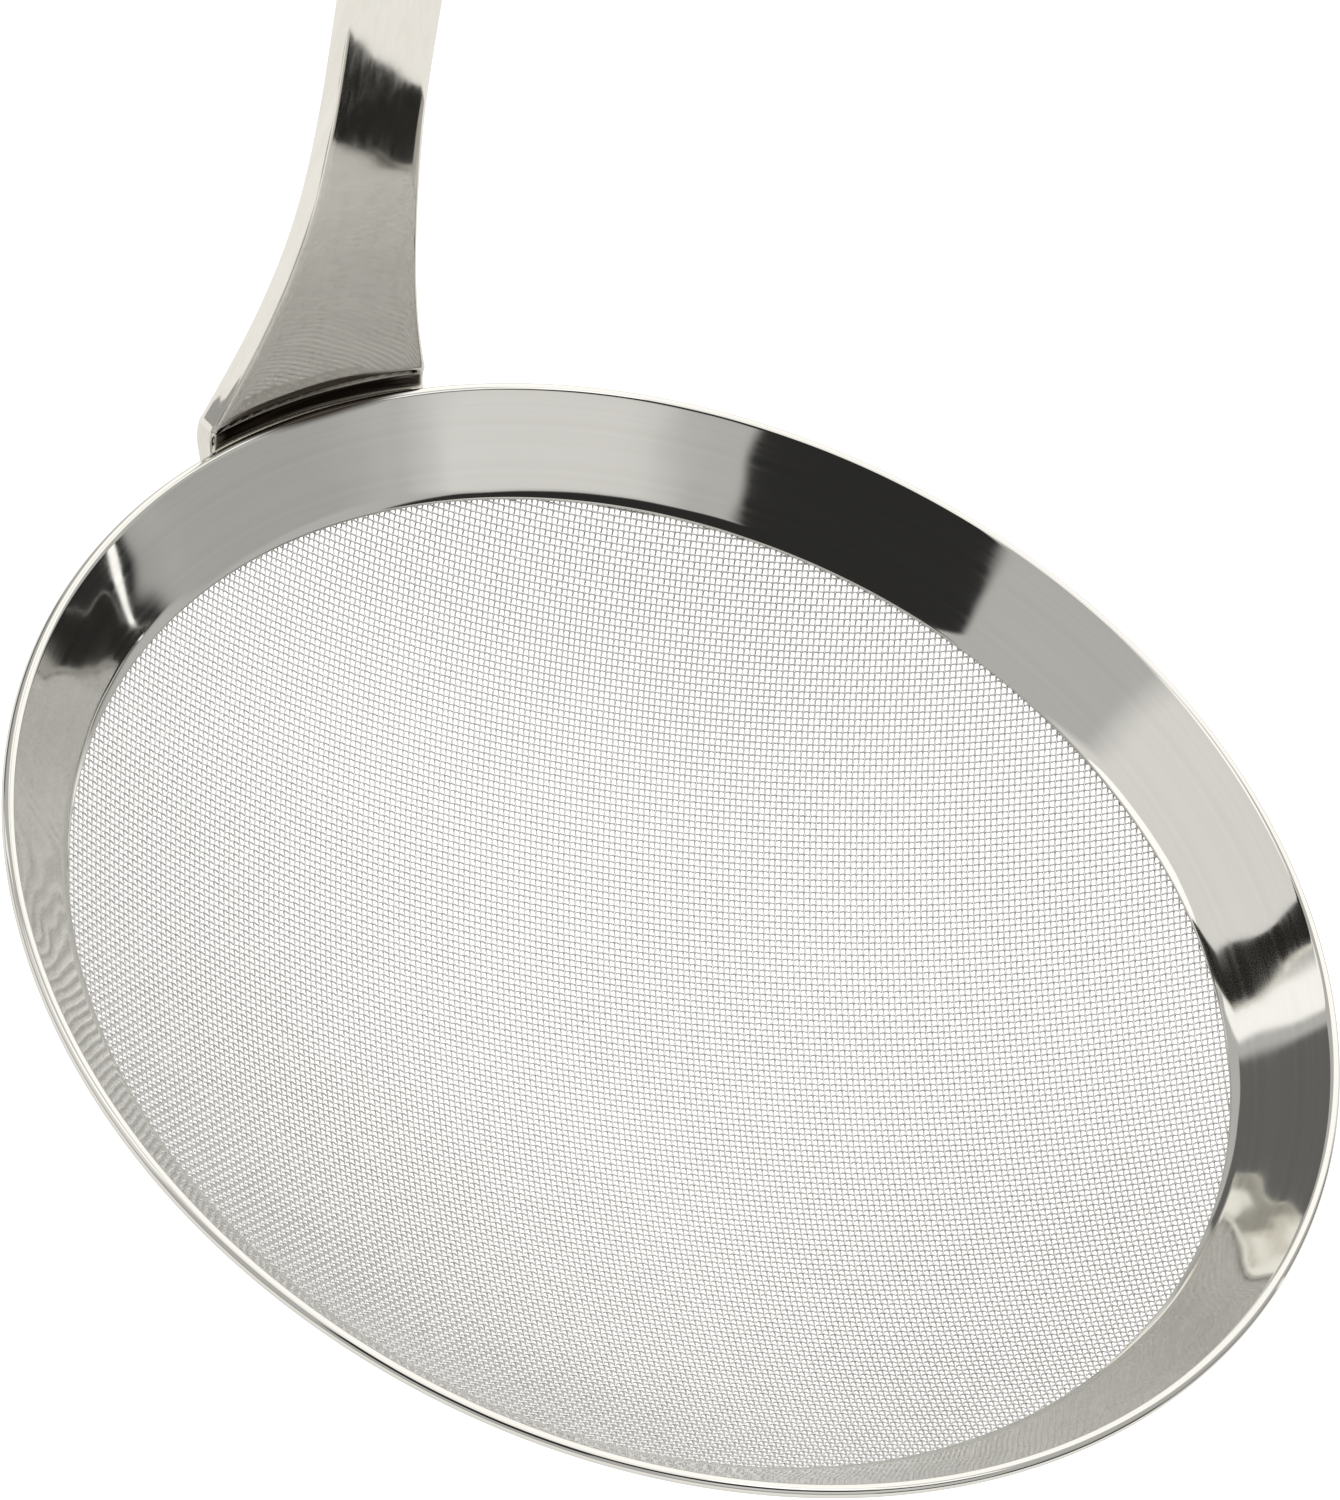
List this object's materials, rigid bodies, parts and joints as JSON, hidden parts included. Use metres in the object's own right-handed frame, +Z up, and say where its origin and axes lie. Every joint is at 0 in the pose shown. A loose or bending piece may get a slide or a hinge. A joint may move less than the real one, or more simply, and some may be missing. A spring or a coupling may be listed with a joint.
{
  "type": "tea strainer",
  "caption": "Ladle-style strainer: a shallow dish of fine woven wire in a folded conical steel rim, with a steep flared strip handle.",
  "frame": {"origin": "on the ring's axis, level with the middle of the rim's fold", "axes": "+Z up along the ring's axis, out of the dish's mouth; +X from the axis to the handle; Y = 0 is the mirror plane"},
  "size_m": [0.1381, 0.1, 0.1652],
  "materials": {
    "polished_rim": "mirror polished stainless sheet with fine handling haze",
    "steel_cloth": "bright drawn stainless wire, plain weave",
    "polished_handle": "mirror polished stainless strip with fine handling haze",
    "weld_metal": "brushed weld bead"
  },
  "bodies": {
    "root": {"rim_band": "polished_rim", "mesh_dish": "steel_cloth", "handle": "polished_handle", "handle_weld": "weld_metal"}
  },
  "joints": []
}
